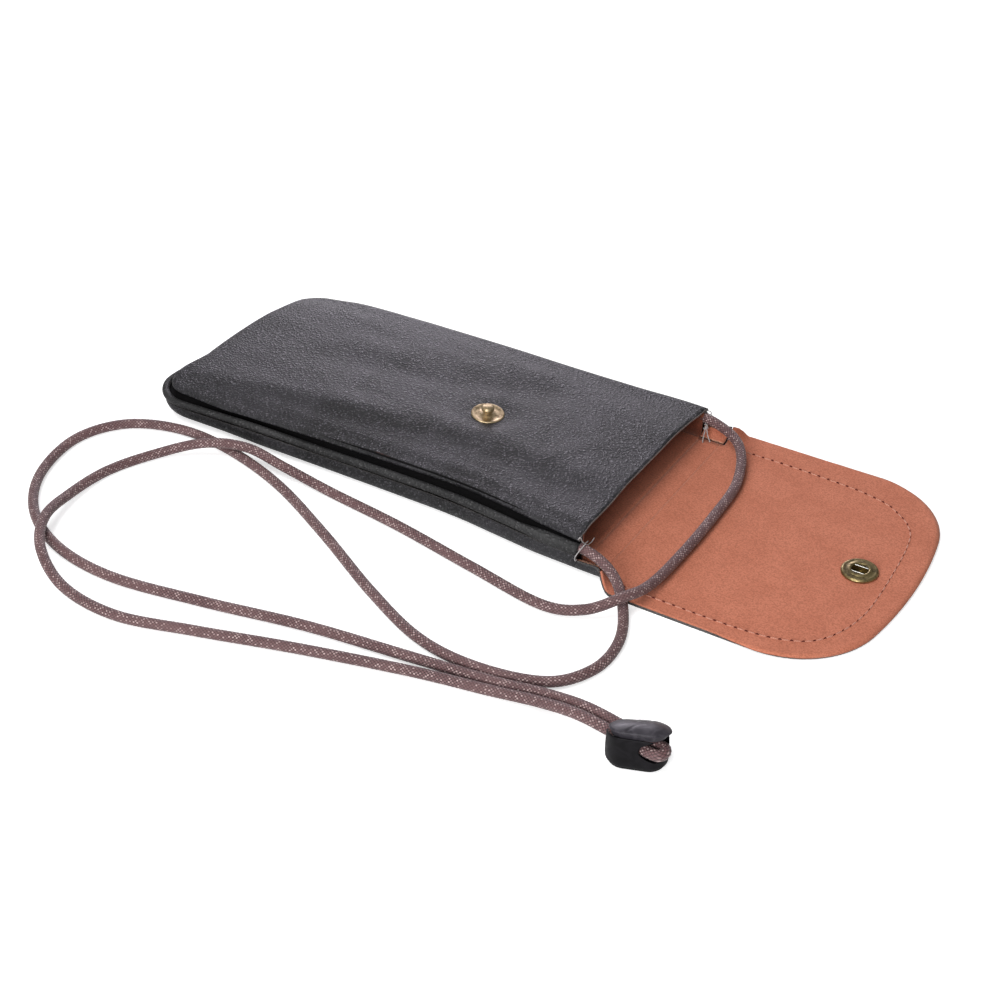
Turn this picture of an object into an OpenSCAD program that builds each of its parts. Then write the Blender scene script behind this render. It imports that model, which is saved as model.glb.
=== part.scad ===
// Phone pouch with an open fold-over flap, a press snap, a braided neck cord and a cord lock.
// It lies on its back: the mouth looks to +X, the flap lies open beyond it, +Z is up.

/* [Pouch] */
// Length from the bottom end to the mouth
pouch_l = 147.5; // [120:0.5:180]
// Width over the back panel
pouch_w = 82; // [74:1:100]
// Plan radius of the two corners at the bottom end
corner_r = 11; // [10:0.5:14]
// Clear height of the pocket
pocket_h = 9.6; // [9:0.1:12]

/* [Leather] */
// Thickness of the outer leather
leather_t = 0.8; // [0.6:0.05:1]
// Thickness of the suede lining
lining_t = 0.6; // [0.4:0.05:0.8]
// Height of the back panel's turned-up edge
edge_h = 4.6; // [3.5:0.1:4.9]
// Thickness of that edge, folded over on itself
edge_t = 1.7; // [1.2:0.1:2]
// Radius of the rolled lower corner of that edge
edge_roll_r = 2.2; // [1.8:0.1:2.6]
// Radius of the gusset's rolled welt
welt_r = 2.5; // [2.2:0.05:2.6]
// How far the welt stands inside the back panel's edge
welt_inset = 0.3; // [0.2:0.1:1]
// Radius of the front panel's rounded edge
front_edge_r = 2.3; // [1.8:0.1:2.5]
// How far the front panel's edge stands inside the back panel's edge
front_inset = 1.3; // [1:0.1:2]

/* [Fold and flap] */
// Width of the strip that folds over the mouth
fold_w = 13; // [12.6:0.1:15]
// Gap that lets a fold line close
fold_gap = 0.5; // [0.3:0.1:0.8]
// Length of the flap beyond the fold strip
flap_l = 69; // [64:0.5:90]
// Width of the flap
flap_w = 89; // [84:0.5:104]
// Radius of the flap's two outer corners
flap_corner_r = 26; // [18:0.5:32]
// Radius of the flap's bowed end
flap_bow_r = 130; // [110:1:300]
// Width of the flap leather that shows round its lining
flap_rim_w = 0.4; // [0.2:0.1:1]

/* [Snap] */
// Distance of the stud from the mouth
stud_to_mouth = 53; // [40:0.5:54]
// Sideways place of the snap
snap_y = -0.8; // [-4:0.2:4]
// Diameter of the stud's flange
stud_flange_d = 10; // [8:0.2:12]
// Thickness of the brass sheet
brass_t = 0.4; // [0.3:0.05:0.5]
// Diameter of the stud's ball
stud_ball_d = 3.2; // [2.8:0.1:3.4]
// Diameter of the neck under the ball
stud_neck_d = 2.3; // [1.8:0.1:2.4]
// Height of the stud above its flange
stud_h = 2.3; // [2.1:0.05:2.4]
// Diameter of the socket ring
socket_d = 10.5; // [9.5:0.1:12]
// Height of the socket ring
socket_h = 1.5; // [1.3:0.05:1.5]
// Diameter of the hole in the socket
socket_bore_d = 4.6; // [4.4:0.1:5]
// Diameter of the two sprung wires in the socket
spring_wire_d = 0.4; // [0.3:0.05:0.5]
// Diameter of the cap on the flap's outer face
cap_d = 12; // [11:0.5:14]

/* [Neck cord] */
// Diameter of the cord
cord_d = 3; // [2.6:0.1:3]
// Depth of the hole in the welt that holds each end of the cord
cord_seat_l = 10; // [6:0.5:20]
// Distance between the two strands that run through the lock
strand_pitch = 3.3; // [3.3:0.05:3.5]

/* [Cord lock] */
// Length of the body's oval plan
lock_w = 15.6; // [15:0.1:18]
// Width of that oval
lock_d = 9.6; // [9.2:0.1:10.4]
// Turn of the oval's long axis from the strands
lock_skew = 28; // [26:1:34]
// Height of the body
lock_body_h = 9.2; // [8.8:0.1:9.8]
// Height of the plunger's domed cap
cap_h = 2.4; // [2:0.1:3]
// Gap under the cap, open for the plunger's travel
cap_gap = 1.4; // [1.35:0.05:1.8]
// Length of the plunger's oval stem
stem_w = 12.2; // [12:0.1:12.6]
// Width of the plunger's oval stem
stem_d = 6.6; // [6.4:0.1:6.8]
// Height of the cord holes
hole_h = 3.2; // [3.2:0.05:3.5]
// Width of the cord holes
hole_w = 7.6; // [7.6:0.1:7.9]
// Wire of the spring under the plunger
lock_wire_d = 0.6; // [0.4:0.05:0.7]
// Turns of that spring
lock_spring_turns = 2; // [1.5:0.5:2.5]

/* [Hidden] */
$fn = 64;
// Overrun of every cut, running clearance, and clearance of a part that is pressed in
cut = 1;
clear = 0.3;
fit = 0.05;

// The origin is under the middle of the open pouch, fold strip and flap together
skin_t = leather_t + lining_t;
open_l = pouch_l + fold_gap + fold_w + flap_l;
bottom_x = -open_l / 2;
mouth_x = bottom_x + pouch_l;
fold_x = mouth_x + fold_gap;
flap_x = fold_x + fold_w;
flap_end_x = flap_x + flap_l;
corner_x = bottom_x + corner_r;
corner_y = pouch_w / 2 - corner_r;

// Heights of the pocket's roof and of the front panel
roof_z = skin_t + pocket_h;
front_z = roof_z + lining_t;
top_z = front_z + leather_t;

// The edges are drawn as profiles: first value out from the corner's centre, second value up
welt_c = corner_r - welt_inset - welt_r;
welt_z = edge_h + fit * 2 + welt_r;
wall_r = welt_c - welt_r + leather_t + lining_t / 2;
front_r = corner_r - front_inset;
front_edge_c = front_r - front_edge_r;
front_edge_z = top_z - front_edge_r;

// The fold strip stands up when the flap is closed, so it is narrow up to where it clears the
// cord; there the back panel's ears run on beside it
cord_r = cord_d / 2;
cord_y = corner_y + welt_c;
cord_z = welt_z;
neck_y = cord_y - cord_r - 2 * clear;
ear_y = neck_y + clear;
shoulder_x = fold_x + cord_z + cord_r + clear + fit * 2 - skin_t;
ear_x = shoulder_x - fold_gap;

// Snap: the socket meets the stud when the fold strip stands and the flap lies back
stud_x = mouth_x - stud_to_mouth;
socket_x = 2 * fold_x + fold_w - stud_x;
post_r = stud_neck_d / 2;
socket_hole_r = socket_bore_d / 2;
cap_barrel_r = socket_hole_r + brass_t / 2 + fit;
spring_z = skin_t + socket_h * 0.7;
spring_y = post_r + fit * 2 + spring_wire_d / 2;

// Cord lock: its middle, its direction (the strands leave its mouth away from the pouch)
lock_at = [81, -95.8];
lock_turn = -8;
lock_floor = 1;
strand_z = 6;
hole_top_z = strand_z + hole_h / 2;
plunger_drop = 1.3;
stem_bottom_z = strand_z - hole_h / 2 - leather_t * 1.25;
cap_z = lock_body_h + cap_gap;
lock_spring_h = stem_bottom_z - lock_floor;
along = [cos(lock_turn), sin(lock_turn)];
across = [-sin(lock_turn), cos(lock_turn)];

// Route of the neck cord's middle: near end to the lock, the loop past the lock, and back
near_route = [[22.5, -38.2, 7.2], [35, -38.2, 7.2], [45, -41.6, 4.9], [52.5, -50, 2], [57.5, -62, 1.6],
  [57, -74.5, 1.6], [49, -84.8, 1.6], [31, -89.2, 1.6], [12, -87.4, 1.6], [-10, -77.8, 1.6],
  [-36, -63.6, 1.6], [-62, -51, 1.6], [-86, -44.2, 1.6], [-105, -43.4, 1.6], [-121, -49.8, 1.6],
  [-128.6, -64, 1.6], [-125, -83, 1.6], [-113.5, -98, 1.6], [-96, -107.2, 1.6], [-74, -109.8, 1.6],
  [-46, -105.2, 1.6], [-16, -98.8, 1.6], [14, -94.8, 1.6], [38, -91.6, 1.6], [52, -90.1, 3]];
far_route = [[52, -93.5, 3], [38, -95.1, 1.6], [18, -99.2, 1.6], [-12, -107.2, 1.6], [-40, -115.8, 1.6],
  [-62, -121.8, 1.6], [-82, -120, 1.7], [-96.5, -112.8, 4.2], [-105, -102, 5.1], [-109, -88, 2.9],
  [-109, -72, 1.6], [-102.5, -58, 1.8], [-91, -48.6, 4.4], [-78, -44.6, 5.1], [-64, -44.6, 3],
  [-46, -46.2, 1.6], [-20, -49.5, 1.6], [8, -54.6, 1.6], [32, -58.6, 1.6], [44, -56, 3],
  [52, -49.2, 6], [54.6, -39, 4.2], [55.2, -22, 3.3], [55, -2, 3.3], [53.4, 18, 3.4],
  [46.5, 33.5, 4.9], [35, 38.2, 7.2], [22.5, 38.2, 7.2]];
loop_r = strand_pitch / 2 + cord_d / 5;
loop_s = lock_w * 0.3;
// Along the lock's axis, the part of the cord that runs straight starts and ends here
run_in = -lock_w / 2 - cord_d * 2.6;
run_out = loop_s - cord_d * 0.6;
ring_pitch = 13;
cord_sides = 8;

// ---- edges of the pouch ----

// Sweeps a profile round the two long sides, the bottom end and its two corners
module round_the_edge() {
  for (side = [0, 1]) mirror([0, side, 0]) {
    translate([corner_x, corner_y, 0]) {
      rotate([90, 0, 90]) linear_extrude(height = mouth_x - corner_x) children();
      rotate([0, 0, 90]) rotate_extrude(angle = 90) children();
    }
  }
  translate([corner_x, -corner_y, 0])
    rotate([90, 0, 180]) linear_extrude(height = 2 * corner_y) children();
}

// Plan of a panel that reaches a given distance out from the corners' centres
module panel_plan(reach) {
  translate([corner_x, -corner_y - reach]) square([mouth_x - corner_x, 2 * (corner_y + reach)]);
  translate([corner_x - reach, -corner_y]) square([reach, 2 * corner_y]);
  for (side = [-1, 1]) translate([corner_x, side * corner_y]) circle(r = reach);
}

// ---- pouch ----

module front_leather() {
  color("#25262b") difference() {
    union() {
      translate([0, 0, front_z]) linear_extrude(height = leather_t) panel_plan(front_edge_c);
      round_the_edge() intersection() {
        translate([front_edge_c, front_edge_z]) difference() {
          circle(r = front_edge_r);
          circle(r = front_edge_r - leather_t);
        }
        translate([front_edge_c, front_edge_z]) square(front_edge_r + cut);
      }
    }
    translate([stud_x, snap_y, front_z - cut]) cylinder(r = post_r + fit, h = leather_t + 2 * cut);
  }
}

module front_lining() {
  color("#9a5540") difference() {
    translate([0, 0, roof_z]) linear_extrude(height = lining_t) panel_plan(front_edge_c);
    translate([stud_x, snap_y, roof_z - cut]) cylinder(r = post_r + fit, h = lining_t + 2 * cut);
  }
}

// A strip on edge, with the welt rolled outwards along its middle
module gusset_leather() {
  color("#303136") difference() {
    round_the_edge() union() {
      translate([wall_r, skin_t]) square([leather_t, pocket_h]);
      difference() {
        translate([welt_c, welt_z]) circle(r = welt_r);
        translate([wall_r - welt_r, welt_z - welt_r]) square([welt_r, 2 * welt_r]);
      }
    }
    for (side = [-1, 1]) translate([mouth_x - cord_seat_l, side * cord_y, cord_z])
      rotate([0, 90, 0]) cylinder(r = cord_r + fit * 2, h = cord_seat_l + cut);
  }
}

module gusset_lining() {
  color("#9a5540") round_the_edge()
    translate([wall_r - lining_t, skin_t]) square([lining_t, pocket_h]);
}

// The panel that the pouch lies on, its edge folded over and turned up under the welt
module back_leather() {
  color("#26272b") union() {
    linear_extrude(height = leather_t) panel_plan(corner_r - edge_roll_r);
    round_the_edge() union() {
      translate([corner_r - edge_roll_r, edge_roll_r]) intersection() {
        difference() {
          circle(r = edge_roll_r);
          circle(r = edge_roll_r - leather_t);
        }
        translate([0, -edge_roll_r]) square(edge_roll_r);
      }
      translate([corner_r - edge_t, edge_roll_r]) square([edge_t, edge_h - edge_roll_r]);
    }
    for (side = [0, 1]) mirror([0, side, 0]) ear();
  }
}

// Past the mouth the turned-up edge runs on beside the fold strip and dies away in a flat ear
module ear() {
  linear_extrude(height = leather_t) polygon([[mouth_x - edge_t, ear_y], [ear_x, ear_y],
    [ear_x, strip_y(ear_x)], [mouth_x - edge_t, pouch_w / 2 - edge_roll_r]]);
  translate([0, pouch_w / 2, 0]) rotate([90, 0, 0]) linear_extrude(height = edge_t)
    polygon([[mouth_x, fit], [ear_x, fit], [ear_x, leather_t], [mouth_x, edge_h]]);
}

module back_lining() {
  color("#9a5540") translate([0, 0, leather_t])
    linear_extrude(height = lining_t) panel_plan(wall_r + leather_t);
}

// ---- fold strip ----

// Half the width of the back skin at a place between the pouch and the flap
function strip_y(x) = (pouch_w + (flap_w - pouch_w) * (x - mouth_x) / (flap_x - mouth_x)) / 2;

// Plan of the strip: a neck between the ears, then shoulders that widen to the flap
module fold_plan(inset) {
  translate([fold_x, -neck_y]) square([shoulder_x + inset - fold_x, 2 * neck_y]);
  polygon([[shoulder_x, inset - strip_y(shoulder_x)], [flap_x - fold_gap, inset - flap_w / 2],
    [flap_x - fold_gap, flap_w / 2 - inset], [shoulder_x, strip_y(shoulder_x) - inset]]);
}

module fold_leather() {
  color("#25262b") linear_extrude(height = leather_t) fold_plan(0);
}

module fold_lining() {
  color("#b5624a") translate([0, 0, leather_t])
    linear_extrude(height = lining_t) fold_plan(flap_rim_w);
}

// ---- flap ----

// Plan of the flap: straight sides, round corners and a bowed end that runs into them
module flap_plan(inset) {
  bow_x = flap_end_x - flap_bow_r;
  corner_in_y = flap_w / 2 - flap_corner_r;
  reach = sqrt(pow(flap_bow_r - flap_corner_r, 2) - corner_in_y * corner_in_y);
  translate([flap_x, -flap_w / 2 + inset]) square([bow_x + reach - flap_x, flap_w - 2 * inset]);
  for (side = [-1, 1]) translate([bow_x + reach, side * corner_in_y])
    circle(r = flap_corner_r - inset, $fn = 128);
  intersection() {
    translate([bow_x, 0]) circle(r = flap_bow_r - inset, $fn = 256);
    polygon([[bow_x, 0], [bow_x + 2 * reach, 2 * corner_in_y], [bow_x + 2 * reach, -2 * corner_in_y]]);
    translate([flap_x, -flap_w / 2]) square([flap_l, flap_w]);
  }
}

module flap_leather() {
  color("#25262b") difference() {
    linear_extrude(height = leather_t) flap_plan(0);
    translate([socket_x, snap_y, -cut]) cylinder(r = cap_barrel_r + fit, h = leather_t + 2 * cut);
    translate([socket_x, snap_y, -cut]) cylinder(r = cap_d / 2 + fit, h = cut + brass_t);
  }
}

module flap_lining() {
  color("#b9654a") difference() {
    translate([0, 0, leather_t]) linear_extrude(height = lining_t) flap_plan(flap_rim_w);
    translate([socket_x, snap_y, leather_t - cut])
      cylinder(r = cap_barrel_r + fit, h = lining_t + 2 * cut);
  }
}

// ---- snap ----

// Flange with a rolled rim, neck and ball, turned in one piece
module snap_stud() {
  rim = brass_t / 2;
  ball_r = stud_ball_d / 2;
  color("#c99a4b") translate([stud_x, snap_y, top_z]) rotate_extrude() union() {
    square([stud_flange_d / 2 - rim, brass_t]);
    translate([stud_flange_d / 2 - rim, rim]) circle(r = rim, $fn = 24);
    square([post_r, brass_t + stud_h - ball_r / 2]);
    intersection() {
      translate([0, brass_t + stud_h - ball_r * 0.75]) scale([1, 0.75]) circle(r = ball_r, $fn = 32);
      square([ball_r, brass_t + stud_h]);
    }
  }
}

// The stud's post runs through the front panel to a flange inside the pocket
module snap_eyelet() {
  color("#b98c45") translate([stud_x, snap_y, roof_z - brass_t]) {
    cylinder(d = stud_flange_d * 0.8, h = brass_t);
    cylinder(r = post_r, h = brass_t + skin_t);
  }
}

// Ring with a rounded rim and a sunken middle, slotted for the sprung wires
module snap_socket() {
  rim = socket_h * 0.6;
  color("#b68d4c") translate([socket_x, snap_y, skin_t]) difference() {
    rotate_extrude() difference() {
      union() {
        square([socket_d / 2 - rim, socket_h]);
        square([socket_d / 2, socket_h - rim]);
        translate([socket_d / 2 - rim, socket_h - rim]) circle(r = rim, $fn = 32);
      }
      square([socket_hole_r, socket_h + cut]);
      translate([0, socket_h - brass_t / 2]) square([socket_hole_r + brass_t * 2, cut]);
      translate([0, -socket_h]) square([socket_d, socket_h]);
    }
    for (side = [-1, 1]) translate([0, side * spring_y, spring_z - skin_t]) rotate([0, 90, 0])
      cylinder(d = spring_wire_d + 2 * fit, h = socket_hole_r * 2 + brass_t * 2, center = true);
  }
}

module snap_socket_spring() {
  color("#8c8478") for (side = [-1, 1]) translate([socket_x, snap_y + side * spring_y, spring_z])
    rotate([0, 90, 0]) cylinder(d = spring_wire_d, h = socket_hole_r * 2 + brass_t, center = true);
}

// Disc let into the flap's outer face, its barrel riveted up into the socket
module snap_cap() {
  color("#b98c45") translate([socket_x, snap_y, 0]) {
    cylinder(d = cap_d, h = brass_t);
    difference() {
      cylinder(r = cap_barrel_r, h = skin_t);
      translate([0, 0, brass_t]) cylinder(r = socket_hole_r, h = skin_t + cut);
    }
  }
}

// ---- neck cord ----

// A place on a strand: s along the lock's axis from its middle, v to its side
function lock_place(s, v, z) =
  [lock_at[0] + s * along[0] + v * across[0], lock_at[1] + s * along[1] + v * across[1], z];

loop_route = concat(
  [for (s = [run_in, 0, run_out]) lock_place(s, strand_pitch / 2, strand_z)],
  [for (a = [80, 40, 0, -40, -80]) lock_place(loop_s + loop_r * cos(a), loop_r * sin(a), strand_z)],
  [for (s = [run_out, 0, run_in]) lock_place(s, -strand_pitch / 2, strand_z)]);
cord_route = concat(near_route, loop_route, far_route);

// A smooth curve through the route: between p1 and p2, bent by their neighbours p0 and p3
function curve(p0, p1, p2, p3, t) = 0.5 * (2 * p1 + (p2 - p0) * t
  + (2 * p0 - 5 * p1 + 4 * p2 - p3) * t * t + (3 * p1 - p0 - 3 * p2 + p3) * t * t * t);
function route_at(i) = i < 0 ? 2 * cord_route[0] - cord_route[1]
  : i >= len(cord_route) ? 2 * cord_route[len(cord_route) - 1] - cord_route[len(cord_route) - 2]
  : cord_route[i];
function steps(i) = max(1, round(norm(cord_route[i + 1] - cord_route[i]) / ring_pitch));
cord_path = concat(
  [for (i = [0 : len(cord_route) - 2]) for (k = [0 : steps(i) - 1])
    curve(route_at(i - 1), route_at(i), route_at(i + 1), route_at(i + 2), k / steps(i))],
  [cord_route[len(cord_route) - 1]]);

function unit(v) = v / norm(v);
// Direction of the path at a ring; both end faces stand square to X, against the welt's holes
function heading(i) = i == 0 ? [1, 0, 0] : i == len(cord_path) - 1 ? [-1, 0, 0]
  : unit(unit(cord_path[i + 1] - cord_path[i]) + unit(cord_path[i] - cord_path[i - 1]));
function ring(i) = let (d = heading(i), side = unit(cross([0, 0, 1], d)), up = cross(d, side))
  [for (k = [0 : cord_sides - 1]) let (a = (k + 0.5) * 360 / cord_sides)
    cord_path[i] + cord_r * (cos(a) * side + sin(a) * up)];

module neck_cord() {
  rings = len(cord_path);
  last = (rings - 1) * cord_sides;
  color("#6e4b50") polyhedron(
    points = [for (i = [0 : rings - 1]) each ring(i)],
    faces = concat(
      [[for (k = [0 : cord_sides - 1]) k]],
      [for (i = [0 : rings - 2]) for (k = [0 : cord_sides - 1])
        let (a = i * cord_sides + k, b = i * cord_sides + (k + 1) % cord_sides)
        each [[a, a + cord_sides, b + cord_sides], [a, b + cord_sides, b]]],
      [[for (k = [cord_sides - 1 : -1 : 0]) last + k]]));
}

// ---- cord lock ----

module on_lock() {
  translate([lock_at[0], lock_at[1], 0]) rotate([0, 0, lock_turn]) children();
}

// Turns the lock's ovals from the strands, which run through it askew
module skewed() {
  rotate([0, 0, lock_skew]) children();
}

// A block with an oval plan: two straight sides and two round ends
module oval(length, width, height) {
  straight = length - width;
  translate([-straight / 2, -width / 2, 0]) cube([straight, width, height]);
  for (side = [-1, 1]) translate([side * straight / 2, 0, 0]) cylinder(d = width, h = height);
}

// A hole through the lock along the strands, its two sides round
module strand_hole(length, bottom, top) {
  round_r = hole_h / 2;
  for (z = [bottom + round_r, top - round_r]) {
    for (side = [-1, 1]) translate([0, side * (hole_w / 2 - round_r), z])
      rotate([0, 90, 0]) cylinder(r = round_r, h = length, center = true);
    translate([-length / 2, -hole_w / 2 + round_r, z - round_r])
      cube([length, hole_w - 2 * round_r, hole_h]);
  }
  if (top - bottom > hole_h)
    translate([-length / 2, -hole_w / 2, bottom + round_r]) cube([length, hole_w, top - bottom - hole_h]);
}

// Body: an upright cup with a foot, bored for the stem and cut through for the cord
module cord_lock_body() {
  foot_h = lock_floor;
  color("#2e3035") on_lock() difference() {
    skewed() difference() {
      union() {
        translate([0, 0, foot_h]) oval(lock_w, lock_d, lock_body_h - foot_h);
        oval(lock_w - foot_h, lock_d - foot_h, foot_h);
      }
      translate([0, 0, lock_floor]) oval(stem_w + 2 * clear, stem_d + 2 * clear, lock_body_h + cut);
    }
    strand_hole(2 * lock_w, strand_z - hole_h / 2 - plunger_drop, hole_top_z);
  }
}

// Radius of a dome that falls by a given drop at half its span
function dome_r(half, drop) = (half * half + drop * drop) / (2 * drop);

// Plunger: a stem with the same hole and a domed cap whose lip overhangs the body over the loop
module cord_lock_plunger() {
  lip = lock_floor;
  top = cap_z + cap_h;
  side_r = dome_r(lock_d / 2, cap_h * 0.6);
  end_r = dome_r(lock_w / 2, cap_h * 0.3);
  color("#2e3035") on_lock() {
    difference() {
      translate([0, 0, stem_bottom_z]) skewed() oval(stem_w, stem_d, cap_z + lip - stem_bottom_z);
      strand_hole(2 * lock_w, strand_z - hole_h / 2, hole_top_z + plunger_drop);
    }
    skewed() translate([lip / 2, 0, 0]) intersection() {
      translate([0, 0, cap_z]) oval(lock_w + lip, lock_d, cap_h);
      translate([0, lock_w, top - end_r]) rotate([90, 0, 0])
        cylinder(r = end_r, h = 2 * lock_w, $fn = 256);
      translate([-lock_w, 0, top - side_r]) rotate([0, 90, 0])
        cylinder(r = side_r, h = 2 * lock_w, $fn = 128);
    }
  }
}

// A short coil between the body's floor and the stem
module cord_lock_spring() {
  coil_r = stem_d / 2 - lock_wire_d;
  count = 12 * lock_spring_turns;
  sides = 6;
  wire_r = lock_wire_d / 2;
  rise = lock_spring_h - lock_wire_d;
  color("#8c8478") on_lock() translate([0, 0, lock_floor]) polyhedron(
    points = [for (i = [0 : count]) let (a = i * 30, z = wire_r + rise * i / count)
      for (k = [0 : sides - 1]) let (b = k * 360 / sides)
        [(coil_r + wire_r * cos(b)) * cos(a), (coil_r + wire_r * cos(b)) * sin(a),
          z + wire_r * sin(b)]],
    faces = concat(
      [[for (k = [0 : sides - 1]) k]],
      [for (i = [0 : count - 1]) for (k = [0 : sides - 1])
        let (p = i * sides + k, q = i * sides + (k + 1) % sides)
        each [[p, p + sides, q + sides], [p, q + sides, q]]],
      [[for (k = [sides - 1 : -1 : 0]) count * sides + k]]));
}

front_leather();
front_lining();
gusset_leather();
gusset_lining();
back_leather();
back_lining();
fold_leather();
fold_lining();
flap_leather();
flap_lining();
snap_stud();
snap_eyelet();
snap_socket();
snap_socket_spring();
snap_cap();
neck_cord();
cord_lock_body();
cord_lock_plunger();
cord_lock_spring();
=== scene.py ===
"""Phone pouch: the finish of every piece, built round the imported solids. Metres, +Z up."""
from functools import partial
from math import asin, copysign, cos, exp, floor, hypot, pi, radians, sin, sqrt

import bmesh
import bpy
import numpy as np
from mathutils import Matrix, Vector, noise


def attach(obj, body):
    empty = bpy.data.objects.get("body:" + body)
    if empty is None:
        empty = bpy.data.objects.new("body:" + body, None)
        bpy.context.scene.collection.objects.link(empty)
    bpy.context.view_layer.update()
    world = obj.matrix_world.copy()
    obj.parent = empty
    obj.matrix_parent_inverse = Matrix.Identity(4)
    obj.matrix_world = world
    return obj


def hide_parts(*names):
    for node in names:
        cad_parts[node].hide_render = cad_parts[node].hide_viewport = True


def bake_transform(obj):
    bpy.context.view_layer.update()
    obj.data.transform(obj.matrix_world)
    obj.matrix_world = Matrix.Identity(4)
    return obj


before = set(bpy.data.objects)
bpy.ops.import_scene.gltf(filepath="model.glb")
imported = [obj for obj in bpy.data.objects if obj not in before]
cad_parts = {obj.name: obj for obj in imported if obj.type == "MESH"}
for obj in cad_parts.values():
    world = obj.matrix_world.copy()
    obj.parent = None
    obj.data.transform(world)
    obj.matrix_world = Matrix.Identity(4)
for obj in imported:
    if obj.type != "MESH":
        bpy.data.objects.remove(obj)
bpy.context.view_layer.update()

# ---- Back panel ----
# The black cowhide panel that the pouch lies on. It is cut wide and its edge is turned up along
# both sides and the bottom end; past the mouth the turned edge runs out in two short ears.
bottom_x, mouth_x, ear_x = -0.115, 0.0325, 0.0402
corner_x, corner_y = -0.104, 0.030
leather_t, lining_t = 0.0008, 0.0006
panel_reach, edge_h, edge_top, floor_z = 0.011, 0.0046, 0.0061, 0.0014
neck_y, ear_y, slit_w, flap_half_w = 0.0361, 0.0364, 0.0438, 0.0445
curl_x, curl_end_x, mouth_roll = 0.0372, 0.0450, 0.0042
roll_xs = (-0.115, -0.100, -0.080, -0.020, 0.010, 0.0325)
roll_widths = (0.0068, 0.0050, 0.0037, 0.0032, 0.0036, 0.0042)
far_xs = (-0.110, -0.095, -0.065, -0.045, -0.030, -0.015, 0.0, 0.010, 0.0325)
far_sinks = (0.07, -0.03, -0.09, -0.09, -0.07, -0.03, 0.03, 0.06, 0.14)
near_xs = (-0.115, -0.095, -0.070, -0.040, -0.005, 0.010, 0.020, 0.0325)
near_walls = (0.0002, 0.0009, 0.0015, 0.0018, 0.0018, 0.0013, 0.0006, 0.0001)
near_leans = (0.0, 0.0003, 0.0012, 0.0020, 0.0024, 0.0021, 0.0015, 0.0005)


def smooth(value):
    """Carries 0..1 softly, and holds what lies outside."""
    t = min(1.0, max(0.0, value))
    return t * t * (3 - 2 * t)


def roll_at(x):
    """Width and height of the back panel's soft lower edge."""
    width = float(np.interp(x, roll_xs, roll_widths))
    return width, min(width, edge_h)


def edge_lift(x, r):
    """How high the back panel's outside stands at a distance r out from the corners' centres."""
    width, height = roll_at(x)
    share = min(1.0, max(0.0, (r - panel_reach + width) / width))
    return height * (1 - sqrt(1 - share * share))


def out_from_core(x, y):
    """The distance of a place out from the line of the corners' centres."""
    return hypot(max(0.0, abs(y) - corner_y), max(0.0, corner_x - x))


def settle(made, fallen=0.0):
    """Lets a pouch piece sink and sag with the others: the sides and the empty bottom end lie
    lower and closer than the mouth, the far side lowest, and the end's upper half bulges out. A
    fallen piece has its near edge drawn in behind the welt."""
    for vertex in made.data.vertices:
        x, y, z = vertex.co
        side = min(1.0, abs(y) / 0.039)
        far = smooth((y - 0.014) / 0.024) * smooth((z - 0.005) / 0.006)
        end = smooth((-0.080 - x) / 0.034)
        sink = 0.11 * smooth((0.010 - x) / 0.080) * side ** 3 + 0.09 * end
        sink += far * float(np.interp(x, far_xs, far_sinks))
        bulge = 0.0040 * smooth((-0.092 - x) / 0.020) * (1 - (y / 0.056) ** 2) * smooth(z / 0.0065)
        spread = 0.0012 * far * smooth((x - 0.008) / 0.022)
        tip = smooth((-0.090 - x) / 0.020)
        lean = tip * (0.0034 * smooth((-y - 0.012) / 0.020) - 0.0012 * smooth((y - 0.012) / 0.020))
        close = 1 - 0.048 * smooth((0.020 - x) / 0.040)
        in_y = fallen * float(np.interp(x, near_xs, near_leans)) * smooth((z - 0.0088) / 0.0016)
        in_y = (in_y + float(np.interp(x, near_xs, near_walls))) * smooth((-y - 0.016) / 0.016)
        vertex.co = (x - bulge - lean, y * close + in_y + spread, z * (1 - sink))
    return made


def node(tree, kind, settings=None, **inputs):
    """A shader node, or the node that a full name gives, with its settings and inputs. An input
    is called by its name, or by its number as i0, i1 and so on; an output given to it is linked."""
    made = tree.nodes.new(kind if "Node" in kind else "ShaderNode" + kind)
    for name, value in (settings or {}).items():
        setattr(made, name, value)
    for name, value in inputs.items():
        socket = made.inputs[int(name[1:]) if name[1:].isdigit() else name.replace("_", " ")]
        if isinstance(value, bpy.types.NodeSocket):
            tree.links.new(value, socket)
        else:
            socket.default_value = value
    return made


def put(tree, kind, settings=None, **inputs):
    """The first output of such a node."""
    return node(tree, kind, settings, **inputs).outputs[0]


def mixed(tree, share, first, second):
    """Two colours mixed by a share."""
    return node(tree, "Mix", {"data_type": "RGBA"}, i0=share, i6=first, i7=second).outputs[2]


def graded(tree, value, low, high, to_low=0.0, to_high=1.0):
    """A value carried smoothly from one range to another."""
    return put(tree, "MapRange", {"interpolation_type": "SMOOTHSTEP"}, Value=value,
               From_Min=low, From_Max=high, To_Min=to_low, To_Max=to_high)


def maths(tree, kind, *values):
    """A sum worked on numbers or outputs."""
    return put(tree, "Math", {"operation": kind},
               **{f"i{k}": value for k, value in enumerate(values)})


def clouds(tree, place, scale, detail=2.0, **more):
    """Noise in a number of cells to the metre, from 0 to 1."""
    return put(tree, "TexNoise", Vector=place, Scale=scale, Detail=detail, **more)


def tinted(colour, factor):
    """A colour made lighter or darker."""
    return tuple(min(1.0, c * factor) for c in colour[:3]) + (1.0,)


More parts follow.
